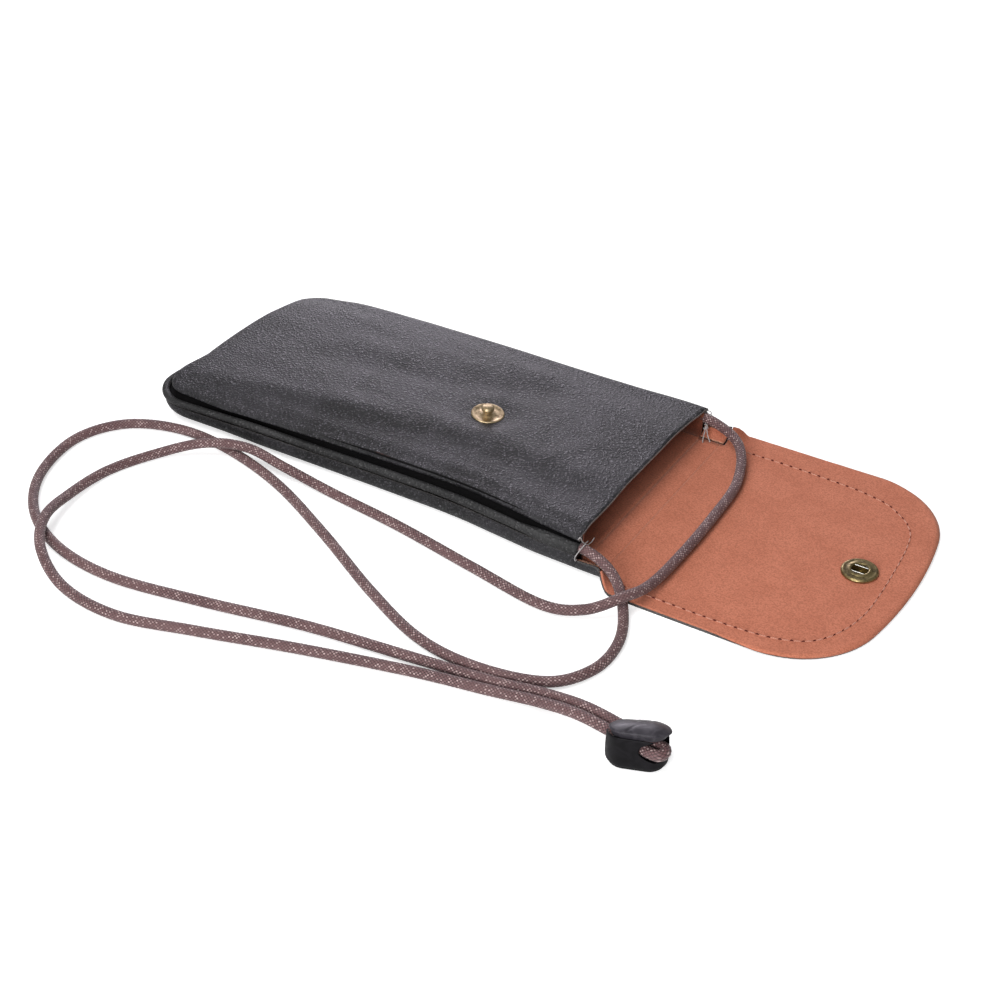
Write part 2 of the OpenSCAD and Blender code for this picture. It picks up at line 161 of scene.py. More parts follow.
def finish(name, **constants):
    """A new material, its node tree, its shader and its Object coordinates. Constant values are
    set on the shader's own sockets."""
    made = bpy.data.materials.new(name)
    made.use_nodes = True
    tree, shader = made.node_tree, made.node_tree.nodes["Principled BSDF"]
    for key, value in constants.items():
        shader.inputs[key.replace("_", " ")].default_value = value
    return made, tree, shader, node(tree, "TexCoord").outputs["Object"]


def surface(tree, shader, colour, relief, strength, depth, rough=None):
    """Links a shader's colour and relief, and its roughness where that varies."""
    tree.links.new(colour, shader.inputs["Base Color"])
    bump = put(tree, "Bump", Strength=strength, Distance=depth, Height=relief)
    tree.links.new(bump, shader.inputs["Normal"])
    if rough is not None:
        tree.links.new(rough, shader.inputs["Roughness"])


def pebbled_leather(name, deep, crown, pebble, relief, matt):
    """Drum-dyed cowhide: rounded pebbles parted by creases, finer pores on top."""
    made, tree, shader, place = finish(name, Specular_IOR_Level=0.5)
    drift = node(tree, "TexNoise", Vector=place, Scale=420.0, Detail=2.0).outputs["Color"]
    bent = put(tree, "VectorMath", {"operation": "MULTIPLY_ADD"},
               i0=drift, i1=(pebble * 0.9,) * 3, i2=place)
    cells = node(tree, "TexVoronoi", {"feature": "SMOOTH_F1"}, Vector=bent,
                Scale=1 / pebble, Smoothness=0.45, Randomness=0.95)
    creases = node(tree, "TexVoronoi", {"feature": "DISTANCE_TO_EDGE"}, Vector=bent,
                  Scale=0.5 / pebble, Randomness=1.0)
    domes = maths(tree, "MULTIPLY", graded(tree, cells.outputs["Distance"], 0.75, 0.1),
                  graded(tree, creases.outputs["Distance"], 0.0, 0.12))
    clumps = graded(tree, clouds(tree, place, 0.45 / pebble), 0.3, 0.7, 0.45, 1.0)
    height = maths(tree, "MULTIPLY", domes, clumps)
    pores = clouds(tree, place, 5200.0, 3.0, Roughness=0.6)
    # Darker from the pebbles' crowns down into the creases between them: painted crease shade.
    tone = mixed(tree, graded(tree, height, 0.25, 0.95), deep, crown)
    # Broad random patches drift toward the crown tone.
    broad_lightening = graded(tree, clouds(tree, place, 55.0, 3.0), 0.38, 0.68, 0.0, 0.35)
    surface(tree, shader, mixed(tree, broad_lightening, tone, crown),
            maths(tree, "MULTIPLY_ADD", pores, 0.22, height), 0.85, relief,
            graded(tree, height, 0.0, 1.0, matt + 0.16, matt - 0.06))
    return made


def raw_edge(name, colour, **constants):
    """The cut edge of leather or suede: dull and fibrous, light and dark about its colour."""
    made, tree, shader, place = finish(name, Roughness=0.85, **constants)
    fibre = clouds(tree, place, 2600.0, 3.0)
    tone = mixed(tree, graded(tree, fibre, 0.35, 0.68), tinted(colour, 0.6), tinted(colour, 1.9))
    surface(tree, shader, tone, fibre, 0.6, 0.0001)
    return made


black_leather = pebbled_leather("black_leather", (0.003, 0.0027, 0.0037, 1),
                                (0.047, 0.043, 0.053, 1), pebble=0.00072, relief=0.00036, matt=0.34)
black_edge = raw_edge("black_leather_edge", (0.060, 0.055, 0.054))


def shown(name, data):
    """An object of its data, linked to the scene."""
    made = bpy.data.objects.new(name, data)
    bpy.context.scene.collection.objects.link(made)
    return made


def piece(name, points, faces, *materials):
    """A mesh object in its place, shaded smooth."""
    mesh = bpy.data.meshes.new(name)
    mesh.from_pydata([tuple(p) for p in points], [], faces)
    mesh.validate()
    for material in materials:
        mesh.materials.append(material)
    mesh.shade_smooth()
    return shown(name, mesh)


def settled(made):
    """The object with its modifiers worked into a plain mesh."""
    solved = made.evaluated_get(bpy.context.evaluated_depsgraph_get())
    mesh = bpy.data.meshes.new_from_object(solved)
    made.modifiers.clear()
    made.data = mesh
    return made


def thickened(made, depth, edge_slot=1, even=True):
    """Gives a sheet its thickness, away from the side that its faces look to."""
    skin = made.modifiers.new("thickness", "SOLIDIFY")
    skin.thickness, skin.offset, skin.use_even_offset = depth, -1.0, even
    skin.use_rim, skin.material_offset_rim = True, edge_slot
    return settled(made)


def joined(name, *parts):
    """Several meshes as one piece."""
    together = bmesh.new()
    for part in parts:
        together.from_mesh(part.data)
    mesh = parts[0].data.copy()
    together.to_mesh(mesh)
    together.free()
    for part in parts:
        bpy.data.objects.remove(part)
    mesh.name = name
    return shown(name, mesh)


def grid(rows, wide):
    """Faces between rows of points, each row wide points long."""
    return [(i * wide + j, i * wide + j + 1, (i + 1) * wide + j + 1, (i + 1) * wide + j)
            for i in range(rows - 1) for j in range(wide - 1)]


def panel(reach, across, height, rims, down=False, along=84, turn=9, start=mouth_x):
    """Points and faces of a panel over the pouch's plan. Its rows run from the mouth to the
    bottom end, and its edge is carried on by the rims, each a function of the place on the edge
    that gives (distance out from the corner's centre, height)."""
    rows = [(x, corner_y + reach, 0.0) for x in np.linspace(start, corner_x, along)]
    rows += [(corner_x - reach * sin(a), corner_y + reach * cos(a), a)
             for a in np.linspace(0, pi / 2, turn + 1)[1:]]
    wide = across + 1
    ys = [2 * j / across - 1 for j in range(wide)]
    points = [(x, half * y, height(x, half * y)) for x, half, a in rows for y in ys]
    faces = grid(len(rows), wide)
    side = [(i * wide, max(x, corner_x), a) for i, (x, half, a) in enumerate(rows)]
    end = (len(rows) - 1) * wide
    edge = [(k, x, -corner_y, -sin(a), -cos(a)) for k, x, a in side]
    edge += [(end + j, corner_x, corner_y * ys[j], -1.0, 0.0) for j in range(1, across)]
    edge += [(k + across, x, corner_y, -sin(a), cos(a)) for k, x, a in reversed(side)]
    last = [k for k, *_ in edge]
    for rim in rims:
        ring = []
        for k, x, y, out_x, out_y in edge:
            r, z = rim(x, y, out_x, out_y)
            ring.append(len(points))
            points.append((x + out_x * r, y + out_y * r, z))
        faces += [(last[m], last[m + 1], ring[m + 1], ring[m]) for m in range(len(ring) - 1)]
        last = ring
    if down:
        faces = [face[::-1] for face in faces]
    return points, faces


def turned_edge(a, top=0.0):
    """The edge's outside: a radians round the soft lower roll, then up to its slack top."""
    def rim(x, y, out_x, out_y):
        width, height = roll_at(x)
        slack = noise.noise(Vector((x * 38, y * 38, out_x * 2 + 5))) * 0.00025 * sin(a)
        r = panel_reach - width * (1 - sin(a)) + slack - 0.0003 * top
        z = height * (1 - cos(a))
        return r, z + (edge_top - z + slack) * top
    return rim


def wide_y(x):
    """Half the flat width of the back skin past the mouth, where it starts slit_w wide."""
    return slit_w + (flap_half_w - slit_w) * min(1, (x - mouth_x) / 0.0135)


def skin_place(x, s, z=0.0):
    """A point of the back skin past the mouth, s out from its middle along the hide: flat, then
    curled up towards its edge, and laid flat again before the flap."""
    curl = pi / 2 * (1 - smooth((x - curl_x) / (curl_end_x - curl_x)))
    start = panel_reach + corner_y - mouth_roll
    out, sign = abs(s), (1 if s > 0 else -1)
    if out <= start or curl < 1e-4:
        return x, s, z
    turn = min(curl, (out - start) / mouth_roll)
    rest = max(0.0, out - start - mouth_roll * curl)
    y = start + (mouth_roll - z) * sin(turn) + rest * cos(curl)
    up = mouth_roll - (mouth_roll - z) * cos(turn) + rest * sin(curl)
    return x, sign * y, up


def ear(side, lift, inset=0.0):
    """One ear as a sheet: along X past the mouth, across Y from the neck's slit to the edge."""
    along, across = 9, 15
    points = [skin_place(x, side * s, lift) for x in np.linspace(mouth_x, ear_x, along)
              for s in np.linspace(ear_y, wide_y(x) - inset, across)]
    faces = [(a, d, c, b) for a, b, c, d in grid(along, across)]
    return points, [face[::-1] for face in faces] if side > 0 else faces


back = piece("back_panel", *panel(0.0015, 40, lambda x, y: 0.0,
             [turned_edge(radians(a)) for a in range(0, 91, 9)]
             + [turned_edge(pi / 2, t) for t in (0.35, 0.7, 1.0)], down=True),
             black_leather, black_edge)
ears = [piece("ear", *ear(side, 0.0), black_leather, black_edge) for side in (-1, 1)]
back = settle(joined("back_panel", *[thickened(part, leather_t) for part in (back, *ears)]))
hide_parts("back_leather")
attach(back, "pouch")

# ---- Back lining ----
# Split suede glued over the inside of the back panel, under the foot of the gusset. Its nap is
# brushed, and it shows at the mouth.
def brushed_suede(name, shade, light, nap):
    """Split suede: short nap that lies light or dark where it was stroked."""
    made, tree, shader, place = finish(name, Roughness=0.92, Specular_IOR_Level=0.25,
                                       Sheen_Weight=0.35, Sheen_Roughness=0.4,
                                       Sheen_Tint=(1.0, 0.62, 0.48, 1.0))
    strokes = clouds(tree, place, 110.0, 6.0, Roughness=0.7, Distortion=0.3)
    laid = put(tree, "Mapping", Vector=place, Rotation=(0, 0, 0.5), Scale=(1.0, 2.6, 1.0))
    fibres = clouds(tree, laid, 1500.0, 4.0, Roughness=0.7)
    base = mixed(tree, graded(tree, strokes, 0.3, 0.7), shade, light)
    napped = mixed(tree, graded(tree, fibres, 0.3, 0.7, 0.0, nap), base, tinted(light, 1.35))
    flecks = graded(tree, clouds(tree, place, 2300.0), 0.40, 0.68, 0.0, 0.6)
    surface(tree, shader, mixed(tree, flecks, napped, tinted(shade, 0.72)), fibres, 0.7, 0.00012)
    return made


# The pocket suede is the tan suede made several times darker: painted shade for the lining inside
# the pocket.
shaded_pocket_suede = brushed_suede("shaded_pocket_suede", (0.12, 0.036, 0.021, 1), (0.22, 0.072, 0.040, 1),
                             nap=0.4)
tan_suede = brushed_suede("tan_suede", (0.44, 0.142, 0.082, 1), (0.53, 0.185, 0.112, 1),
                          nap=0.45)
suede_edge = raw_edge("suede_edge", (0.30, 0.15, 0.10))
floor_suede = piece("floor", *panel(0.007, 60, lambda x, y: floor_z
                    + edge_lift(x, out_from_core(x, y)), []), tan_suede, suede_edge)
ear_suede = [piece("ear_suede", *ear(side, floor_z, 0.0005), tan_suede, suede_edge)
             for side in (-1, 1)]
back_lining = settle(joined("back_lining_suede", thickened(floor_suede, lining_t, edge_slot=0),
                            *[thickened(part, lining_t) for part in ear_suede]))
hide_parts("back_lining")
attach(back_lining, "pouch")

# ---- Gusset ----
# A strip of the same hide set on edge between back and front panels. Its middle is rolled
# outwards into a welt, which holds the neck cord's ends at the mouth; suede lines its inside.
welt_r, welt_c, welt_z = 0.0012, 0.0101, 0.0079
wall_r, roof_z = 0.0068, 0.0110


def filled(x):
    """How far the welt is filled by the cord: 0 along the pouch, 1 at the mouth."""
    return smooth((x - 0.0125) / 0.0125)


def head_r(x):
    """Where the strip's head meets the front panel, a little further in than its foot."""
    return wall_r - 0.0008 * (1 - filled(x))


def pouch_edge(step=0.0016, turn=14):
    """Places round the edge from the near mouth corner to the far one, with the way out."""
    xs = np.linspace(mouth_x, corner_x, int((mouth_x - corner_x) / step))
    ys = np.linspace(-corner_y, corner_y, int(2 * corner_y / step))
    arc = np.linspace(0, pi / 2, turn)[1:-1]
    near = [(x, -corner_y, 0.0, -1.0) for x in xs]
    near += [(corner_x, -corner_y, -sin(a), -cos(a)) for a in arc]
    far = [(x, -y, out_x, -out_y) for x, y, out_x, out_y in reversed(near)]
    return near + [(corner_x, y, -1.0, 0.0) for y in ys] + far


def outward(made, merged=False):
    """Turns the faces of a closed shell outwards, its doubled poles merged first if asked."""
    solid = bmesh.new()
    solid.from_mesh(made.data)
    if merged:
        bmesh.ops.remove_doubles(solid, verts=solid.verts, dist=1e-7)
        bmesh.ops.dissolve_degenerate(solid, edges=solid.edges, dist=1e-7)
    bmesh.ops.recalc_face_normals(solid, faces=solid.faces)
    solid.to_mesh(made.data)
    solid.free()
    return made


def ring_faces(rings, count):
    """Faces between rings of count points, each ring closed on itself."""
    return [(m * count + k, m * count + (k + 1) % count, (m + 1) * count + (k + 1) % count,
             (m + 1) * count + k) for m in range(rings - 1) for k in range(count)]


def shell(name, rings, *materials):
    """A closed shell over rings of equal count, with flat ends."""
    count, last = len(rings[0]), (len(rings) - 1) * len(rings[0])
    faces = ring_faces(len(rings), count)
    faces += [tuple(range(count))[::-1], tuple(range(last, last + count))]
    return outward(piece(name, [p for ring in rings for p in ring], faces, *materials))


def swept(name, section, *materials):
    """A closed section carried round the pouch's edge, with flat ends at the mouth. The section
    is a function of the place: its points as (distance out, height)."""
    return shell(name, [[(x + out_x * r, y + out_y * r, z) for r, z in section(x, y, out_x)]
                        for x, y, out_x, out_y in pouch_edge()], *materials)


def welt_section(x, y, out_x):
    """The strip's foot and head with the roll between them, fuller where it holds the cord; a
    deep crease parts the roll from the head."""
    full = filled(x)
    r, c, up = welt_r + 0.0009 * full, welt_c - 0.0014 * full, welt_z - 0.0009 * full
    foot = floor_z + edge_lift(x, wall_r + leather_t)
    ring = [(wall_r, foot), (wall_r + leather_t, foot), (wall_r + leather_t, up - r)]
    for k in range(21):
        a = radians(-104 + (294 - 86 * full) * k / 20)
        slack = noise.noise(Vector((x * 55, y * 55 + out_x, k * 0.35))) * 0.00016
        ring.append((c + (r + slack) * cos(a), up + (r + slack) * sin(a)))
    crease, head = ring[-1][1] - 0.0003 * (1 - full), head_r(x)
    return ring + [(wall_r + leather_t - 0.0001, crease), (head + leather_t, crease + 0.0008),
                   (head + leather_t, roof_z), (head, roof_z)]


gusset_black = pebbled_leather("gusset_leather", (0.006, 0.006, 0.0065, 1),
                               (0.055, 0.053, 0.055, 1), pebble=0.0007, relief=0.00022, matt=0.40)
# From the roll's end down into the crease and up the wall to the roof, the faces get a near-black
# finish: painted shade where the narrow crease lets no light in.
crease_shade_black = raw_edge("crease_painted_shade", (0.0022, 0.0020, 0.0022), Specular_IOR_Level=0.12)
gusset = settle(swept("gusset", welt_section, gusset_black, crease_shade_black))
ring_points, shaded_crease_faces, end_faces = len(welt_section(0.0, -corner_y, 0.0)), 5, 2
for face in gusset.data.polygons[:-end_faces]:
    place_in_ring = face.index % ring_points
    face.material_index = int(ring_points - 1 - shaded_crease_faces <= place_in_ring < ring_points - 1)
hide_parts("gusset_leather")
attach(gusset, "pouch")
# Its lining is the darkened pocket suede: painted shade inside the pocket.
gusset_suede = settle(swept("gusset_lining_suede", lambda x, y, out_x: [
    (wall_r - lining_t, floor_z + edge_lift(x, wall_r)), (wall_r, floor_z + edge_lift(x, wall_r)),
    (head_r(x), roof_z), (head_r(x) - lining_t, roof_z)], shaded_pocket_suede))
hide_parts("gusset_lining")
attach(gusset_suede, "pouch")

# ---- Front panel ----
# The pebbled hide over the pocket, softly puffed and dented by what the pocket has held. Its edge
# dives into a groove above the welt; at the mouth it is cut raw. Suede lines it.
front_reach, front_round, front_top, front_low = 0.0062, 0.0034, 0.0124, 0.0103
stud_x, snap_y, stud_tilt = -0.0205, -0.0008, 0.08
shelf_xs = (-0.104, -0.083, -0.055, -0.030, -0.007, 0.015)
shelf_ys = (-0.033, -0.029, -0.023, -0.018, -0.016, -0.018)
trough_xs = (-0.100, -0.080, -0.046, -0.019, 0.010)
trough_ys = (-0.003, 0.000, 0.007, 0.014, 0.020)
pleat_x, pleat_y = 0.010, -0.006


def front_folds(x, y):
    """The lasting folds: a low shelf along the near edge, a crest, a trough and a pleat."""
    shelf = float(np.interp(x, shelf_xs, shelf_ys))
    trough = float(np.interp(x, trough_xs, trough_ys))
    kept = smooth((x + 0.108) / 0.020) * (1 - 0.4 * smooth((x - 0.012) / 0.018))
    middle = smooth((x + 0.102) / 0.030) * smooth((0.004 - x) / 0.024)
    folds = -0.00080 * kept * (1 - smooth((y - shelf + 0.005) / 0.010))
    folds += 0.00034 * kept * exp(-((y - shelf - 0.0065) / 0.0050) ** 2)
    folds -= 0.00036 * middle * exp(-((y - trough) / 0.0055) ** 2)
    folds += 0.00026 * middle * exp(-((y - trough - 0.0125) / 0.0055) ** 2)
    along = 0.55 * (x - pleat_x) + 0.835 * (y - pleat_y)
    off = -0.835 * (x - pleat_x) + 0.55 * (y - pleat_y)
    return folds + 0.00026 * exp(-(along / 0.011) ** 2 - (off / 0.0034) ** 2)


def front_height(x, y):
    """Puff, slow waves and dents of the front panel; the stud draws it down to its flange."""
    out = min(1.0, abs(y) / (corner_y + front_reach))
    end = min(1.0, (x - bottom_x) / 0.024)
    puff = 0.0006 * (1 - out ** 2.2) * (1 - (1 - end) ** 2) - 0.0005 * smooth((out - 0.72) / 0.28)
    if y < 0:
        puff += 0.00062 * exp(-((out - 0.92) / 0.085) ** 2) * smooth((x + 0.108) / 0.030)
    waves = noise.noise(Vector((x * 26 + 3.1, y * 52 + x * 14, 0.7))) * 0.00050
    waves += noise.noise(Vector((x * 70, y * 80 + 9.0, 2.3))) * 0.00016
    waves += noise.noise(Vector((x * 22 + 8.0, y * 150 + x * 30, 5.1))) * 0.00014
    waves = waves * (1 - 0.7 * out ** 6) + front_folds(x, y)
    drawn = exp(-(((x - stud_x) ** 2 + (y - snap_y) ** 2) / 0.0085 ** 2) ** 2)
    tilt = stud_tilt * (x - stud_x) * drawn
    return front_top + (puff + waves) * (1 - drawn) - tilt


def front_rim(a, under=0.0):
    """A ring of the soft edge, a radians down from the top, then under towards the groove."""
    def rim(x, y, out_x, out_y):
        top = front_height(x + out_x * front_reach, y + out_y * front_reach)
        wave = noise.noise(Vector((x * 45, y * 45, out_x + 7.7))) * 0.00025
        wave -= 0.0018 * smooth((-0.090 - x) / 0.018)
        r = front_reach + (front_round + wave) * sin(a) - under
        low = 0.0005 * sin(min(1.0, under / 0.0009) * pi / 2)
        return r, top - (top - front_low) * (1 - cos(a)) - low
    return rim


pale_cut = raw_edge("front_cut_edge", (0.17, 0.155, 0.15))
front = piece("front_panel", *panel(front_reach, 56, front_height, [
    front_rim(radians(a)) for a in range(9, 91, 9)] + [
    front_rim(pi / 2, u) for u in (0.0001, 0.0003, 0.0006, 0.0010, 0.0015)], along=104),
    black_leather, pale_cut)
settle(thickened(front, leather_t), 1.0)
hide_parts("front_leather")
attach(front, "pouch")


def lining_under(a):
    """The lining follows the leather's inside some way down the soft edge."""
    def rim(x, y, out_x, out_y):
        r, z = front_rim(a)(x, y, out_x, out_y)
        return r - leather_t * sin(a), z - leather_t * cos(a)
    return rim


# The lining is the darkened pocket suede: painted shade inside the pocket.
front_suede = piece("front_lining_suede", *panel(
    front_reach, 56, lambda x, y: front_height(x, y) - leather_t,
    [lining_under(radians(a)) for a in (9, 18, 27)], along=104, start=mouth_x - 0.0012),
    shaded_pocket_suede, shaded_pocket_suede)
settle(thickened(front_suede, lining_t), 1.0)
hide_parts("front_lining")
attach(front_suede, "pouch")

# ---- Fold strip and flap ----
# The back skin runs on past the mouth as a strip that folds over it, then widens into the flap:
# black hide outside, brushed tan suede inside, cut together with a thin black edge showing.
neck_end_x, shoulder_x, flap_x, flap_end_x = 0.0395, 0.0407, 0.0460, 0.1150
flap_corner_r, flap_bow_r, over, lap = 0.026, 0.130, 0.00020, 0.0002
strip_rise, flap_rise, cap_depth = 0.00002, 0.00004, 0.00041
socket_x, cap_r, barrel_hole_r = 0.0995, 0.0061, 0.00265


def neck(name, lift, depth, outer, cut):
    """The neck of the fold strip, from the mouth to the middle of the strip."""
    along, across = 9, 41
    points = [(x, s, lift) for x in np.linspace(mouth_x - lap, neck_end_x, along)
              for s in np.linspace(-neck_y, neck_y, across)]
    return thickened(piece(name, points, grid(along, across), outer, cut), depth)


def flap_outline_x(s):
    """Where the flap ends at a distance s from its middle: the bow, then the round corner."""
    bow_x, corner_in = flap_end_x - flap_bow_r, flap_half_w - flap_corner_r
    reach = sqrt((flap_bow_r - flap_corner_r) ** 2 - corner_in ** 2)
    if abs(s) < corner_in * flap_bow_r / (flap_bow_r - flap_corner_r):
        return bow_x + sqrt(flap_bow_r ** 2 - s * s)
    return bow_x + reach + sqrt(max(0.0, flap_corner_r ** 2 - (abs(s) - corner_in) ** 2))


def flap_lift(x, y):
    """The open flap lies almost flat: slow waves, its corners a hair off the table."""
    out = max(0.0, (x - flap_x) / (flap_end_x - flap_x))
    wave = noise.noise(Vector((x * 30 + 4.0, y * 26, 3.3))) * 0.00035
    return max(0.0, wave * out + 0.0002 * out * (abs(y) / flap_half_w) ** 3)


def flap_sheet(name, lift, depth, inset, outer, cut):
    """From the middle of the strip over the shoulders to the flap's bowed end."""
    corner_in = flap_half_w - flap_corner_r
    start = asin((neck_y - corner_in) / flap_corner_r)
    half = list(np.linspace(0, neck_y, 24))
    half += [corner_in + flap_corner_r * sin(a)
             for a in np.linspace(start, pi / 2, 13)[1:]]
    ss = [-s for s in reversed(half[1:])] + half
    rows = [("neck", x) for x in np.linspace(neck_end_x - lap, shoulder_x, 3)[:-1]]
    rows += [("shoulder", x) for x in np.linspace(shoulder_x, flap_x, 6)[:-1]]
    rows += [("flap", t) for t in np.linspace(0, 1, 54)]
    points, wide = [], len(ss)
    for kind, t in rows:
        for s in ss:
            rim = abs(s) > flap_half_w - 1e-6 or (kind == "flap" and t > 0.999)
            if kind == "flap":
                x = flap_x + (flap_outline_x(s) - inset - flap_x) * t
                s = s * (1 - inset * smooth((x - 0.070) / 0.025) / flap_half_w)
            else:
                x = t
                if kind == "shoulder" and abs(s) > neck_y:
                    s = copysign(neck_y + (abs(s) - neck_y) * (wide_y(x) - neck_y)
                                      / (flap_half_w - neck_y), s)
            px, py, pz = skin_place(x, s, lift)
            droop = 0.00035 * smooth((px - 0.070) / 0.030) if rim and inset < 0 else 0.0
            points.append((px, py, pz - droop + (flap_lift(px, py) if kind == "flap" else 0.0)))
    inside = [max(abs(a), abs(b)) <= neck_y + 1e-6 for a, b in zip(ss, ss[1:])]
    faces = [face for face in grid(len(rows), wide)
             if rows[face[0] // wide][0] != "neck" or inside[face[0] % wide]]
    return thickened(piece(name, points, faces, outer, cut), depth, even=False)


def cut_out(made, tool):
    """Cuts a tool's shape out of a piece, and throws the tool away."""
    cut = made.modifiers.new("cut", "BOOLEAN")
    cut.operation, cut.object, cut.solver = "DIFFERENCE", tool, "EXACT"
    settled(made)
    bpy.data.objects.remove(tool)


def bored(made, radius, low, high):
    """Cuts a round hole or recess for the socket and its cap."""
    drill = bmesh.new()
    bmesh.ops.create_cone(drill, cap_ends=True, segments=48, radius1=radius, radius2=radius,
                          depth=high - low)
    bmesh.ops.translate(drill, verts=drill.verts, vec=(socket_x, snap_y, (low + high) / 2))
    mesh = bpy.data.meshes.new("drill")
    drill.to_mesh(mesh)
    drill.free()
    cut_out(made, shown("drill", mesh))


strip_hide = neck("fold_strip", 0.0, leather_t, black_leather, black_edge)
strip_suede = neck("fold_strip_suede", floor_z + strip_rise - lining_t, lining_t,
                   tan_suede, tan_suede)
flap_hide = flap_sheet("flap", 0.0, leather_t, 0.0, black_leather, black_edge)
flap_suede = flap_sheet("flap_suede", floor_z + flap_rise - lining_t, lining_t, -over,
                        tan_suede, tan_suede)
bored(flap_hide, cap_r, -0.001, cap_depth)
bored(flap_hide, barrel_hole_r, -0.001, 0.002)
bored(flap_suede, barrel_hole_r, -0.001, 0.003)
for part, slot in ((strip_hide, "black_leather"), (strip_suede, "suede_lining")):
    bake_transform(part)
for part, slot in ((flap_hide, "black_leather"), (flap_suede, "suede_lining")):
    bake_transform(part)
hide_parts("fold_leather")
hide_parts("fold_lining")
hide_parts("flap_leather")
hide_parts("flap_lining")

# ---- Flap stitching ----
# One row of lockstitch in pinkish thread holds hide and suede together round the flap, nearer
# the edge on one side than on the other. Each stitch sinks at its ends into a hole, drawn as a
# small flat dark red disc: painted shade of the hole.
stitch_pitch, stitch_gap, thread_r = 0.0030, 0.0009, 0.00023
seam = [(49, 36.0), (64, 36.0), (76, 35.6), (84, 35.1), (90, 34.1), (94.8, 32.6), (98.4, 30.3),
        (101.6, 27.8), (104, 24.8), (105.5, 21.6), (106.6, 16.0), (107.2, 9.7), (107.6, 3),
        (107.9, -4), (108, -10), (107.7, -17), (106.2, -24), (103.6, -30.2), (100.2, -34.5),
        (95.8, -37.2), (90, -39.1), (82, -40.1), (70, -40.4), (56, -40.3), (49, -40.2)]


def through(points, step):
    """A smooth curve through points, cut into even short steps."""
    known = [np.array(p, float) for p in points]
    known = [2 * known[0] - known[1]] + known + [2 * known[-1] - known[-2]]
    run = []
    for p0, p1, p2, p3 in zip(known, known[1:], known[2:], known[3:]):
        count = max(1, round(float(np.linalg.norm(p2 - p1)) / step))
        for k in range(count):
            t = k / count
            run.append(0.5 * (2 * p1 + (p2 - p0) * t + (2 * p0 - 5 * p1 + 4 * p2 - p3) * t * t
                              + (3 * p1 - p0 - 3 * p2 + p3) * t ** 3))
    return np.array(run + [known[-2]])


def thread_finish(name, dull, bright, scale):
    """Twisted thread: fine plies, matt, a little fuzzy in tone."""
    made, tree, shader, place = finish(name, Roughness=0.8, Sheen_Weight=0.3,
                                       Specular_IOR_Level=0.3)
    plies = node(tree, "TexWave", {"bands_direction": "DIAGONAL"}, Vector=place,
                Scale=scale, Distortion=2.0, Detail=2.0).outputs[1]
    surface(tree, shader, mixed(tree, plies, dull, bright), plies, 0.6, 0.00005)
    return made


def two_toned(name, dark, light, scale, detail, **constants):
    """A plain finish whose colour drifts between two tones."""
    made, tree, shader, place = finish(name, **constants)
    tone = mixed(tree, clouds(tree, place, scale, detail), dark, light)
    tree.links.new(tone, shader.inputs["Base Color"])
    return made


pink_thread = thread_finish("flap_thread", (0.40, 0.14, 0.09, 1), (0.66, 0.33, 0.24, 1), 1100.0)
# A dark red finish for the flat discs at the stitches' ends: painted shade of the holes.
hole_shade = two_toned("pricked_hole_shade", (0.05, 0.008, 0.005, 1), (0.13, 0.02, 0.014, 1), 3000.0, 2.0,
                    Roughness=0.95)


def stitch_row():
    """The node tree that lays a stitch and a flat dark disc, painted shade of its hole, at every
    pitch along a line.
    """
    tree = bpy.data.node_groups.new("stitch_row", "GeometryNodeTree")
    for name, kind in (("Line", "NodeSocketGeometry"), ("Pitch", "NodeSocketFloat"),
                       ("Gap", "NodeSocketFloat"), ("Thread", "NodeSocketFloat")):
        tree.interface.new_socket(name, in_out="INPUT", socket_type=kind)
    tree.interface.new_socket("Row", in_out="OUTPUT", socket_type="NodeSocketGeometry")
    given = node(tree, "NodeGroupInput").outputs
    pitch, gap, thread = (given[name] for name in ("Pitch", "Gap", "Thread"))

    def shape(kind, **inputs):
        return put(tree, "GeometryNode" + kind, **inputs)

    curve = shape("MeshToCurve", Mesh=given["Line"])
    places = node(tree, "GeometryNodeCurveToPoints", {"mode": "LENGTH"}, Curve=curve, Length=pitch)
    half = maths(tree, "MULTIPLY", pitch, 0.5)
    reach = maths(tree, "MULTIPLY_ADD", gap, -0.5, half)
    wide, low, flat = (maths(tree, "MULTIPLY", thread, share) for share in (1.15, 0.85, 0.32))
    size = put(tree, "CombineXYZ", X=low, Y=wide, Z=reach)
    long = shape("Transform", Geometry=shape("MeshIcoSphere", Radius=1.0, Subdivisions=3),
                 Scale=size)
    tight = maths(tree, "MULTIPLY", gap, 0.55)
    spread = put(tree, "CombineXYZ", X=flat, Y=tight, Z=tight)
    disc = shape("Transform", Geometry=shape("MeshUVSphere", Segments=12, Rings=6, Radius=1.0),
                 Scale=spread, Translation=put(tree, "CombineXYZ", Z=half))
    both = node(tree, "GeometryNodeJoinGeometry")
    # The disc at each stitch's end is dark: painted shade of the hole.
    for part, material in ((long, pink_thread), (disc, hole_shade)):
        tree.links.new(shape("SetMaterial", Geometry=part, Material=material), both.inputs[0])
    row = shape("InstanceOnPoints", Points=places.outputs["Points"], Instance=both.outputs[0],
                Rotation=places.outputs["Rotation"])
    real = shape("RealizeInstances", Geometry=row)
    node(tree, "NodeGroupOutput", Row=real)
    return tree


def stitched(name, line, **sizes):
    """A row of stitches along a line, as one plain mesh."""
    mesh = bpy.data.meshes.new(name)
    mesh.from_pydata([tuple(p) for p in line], [(k, k + 1) for k in range(len(line) - 1)], [])
    made = shown(name, mesh)
    row = made.modifiers.new("row", "NODES")
    row.node_group = stitch_row()
    for socket in row.node_group.interface.items_tree:
        if socket.in_out == "INPUT" and socket.name in sizes:
            row[socket.identifier] = sizes[socket.name]
    return settled(made)


